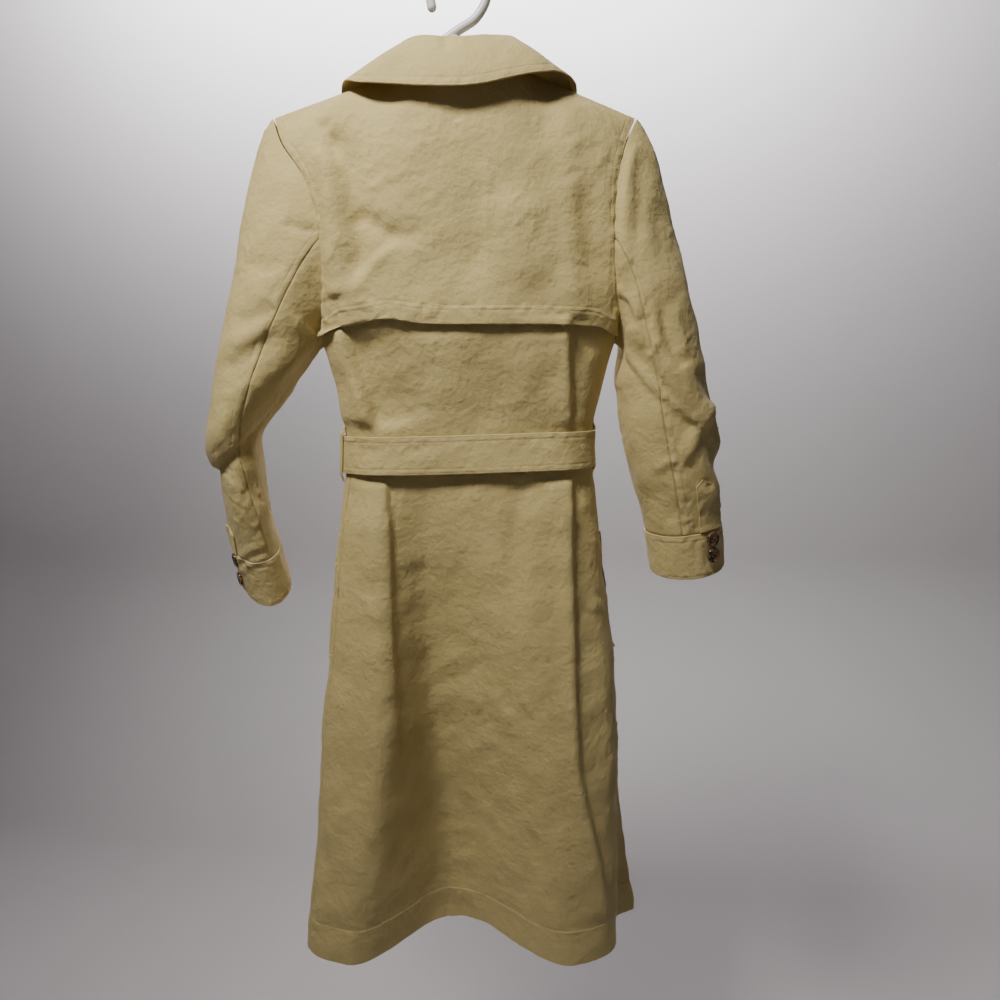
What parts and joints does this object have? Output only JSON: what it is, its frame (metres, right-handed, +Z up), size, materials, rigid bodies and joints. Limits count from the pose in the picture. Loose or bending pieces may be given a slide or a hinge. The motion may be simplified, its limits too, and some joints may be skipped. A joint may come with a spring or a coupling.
{
  "type": "trench coat on hanger",
  "caption": "Knee-length belted cotton trench coat with storm flap, turned-down collar, buttoned cuffs and flared skirt, hanging on a plastic tube hanger.",
  "frame": {"origin": "inner top of the hanger's hook, where a rail or peg bears", "axes": "+Z up, the back of the coat towards -Y, the wearer's right side towards +X"},
  "size_m": [0.6038, 0.1396, 1.1471],
  "materials": {
    "cotton_gabardine": "khaki beige cotton gabardine, fine diagonal weave, faint sheen, stitched tone in tone",
    "shell_plastic": "polished tortoiseshell plastic",
    "hanger_plastic": "smooth white moulded plastic"
  },
  "bodies": {
    "root": {"back_body": "cotton_gabardine", "back_storm_flap": "cotton_gabardine", "front_right": "cotton_gabardine", "front_left": "cotton_gabardine", "sleeve_right_under": "cotton_gabardine", "sleeve_right_upper": "cotton_gabardine", "cuff_right": "cotton_gabardine", "sleeve_left_under": "cotton_gabardine", "sleeve_left_upper": "cotton_gabardine", "cuff_left": "cotton_gabardine", "belt": "cotton_gabardine", "belt_end": "cotton_gabardine", "belt_loop_left": "cotton_gabardine", "belt_loop_right": "cotton_gabardine", "belt_keeper": "cotton_gabardine", "buckle": "shell_plastic", "front_button_right_1": "shell_plastic", "front_button_left_1": "shell_plastic", "front_button_right_2": "shell_plastic", "front_button_left_2": "shell_plastic", "front_button_right_3": "shell_plastic", "front_button_left_3": "shell_plastic", "front_button_right_4": "shell_plastic", "front_button_left_4": "shell_plastic", "lapel_right": "cotton_gabardine", "lapel_left": "cotton_gabardine", "collar_leaf": "cotton_gabardine", "collar_stand": "cotton_gabardine", "sleeve_strap_right": "cotton_gabardine", "cuff_button_right_1": "shell_plastic", "cuff_button_right_2": "shell_plastic", "sleeve_strap_left": "cotton_gabardine", "cuff_button_left_1": "shell_plastic", "cuff_button_left_2": "shell_plastic", "pocket_welt_right": "cotton_gabardine", "pocket_welt_left": "cotton_gabardine", "hanger": "hanger_plastic"}
  },
  "joints": []
}
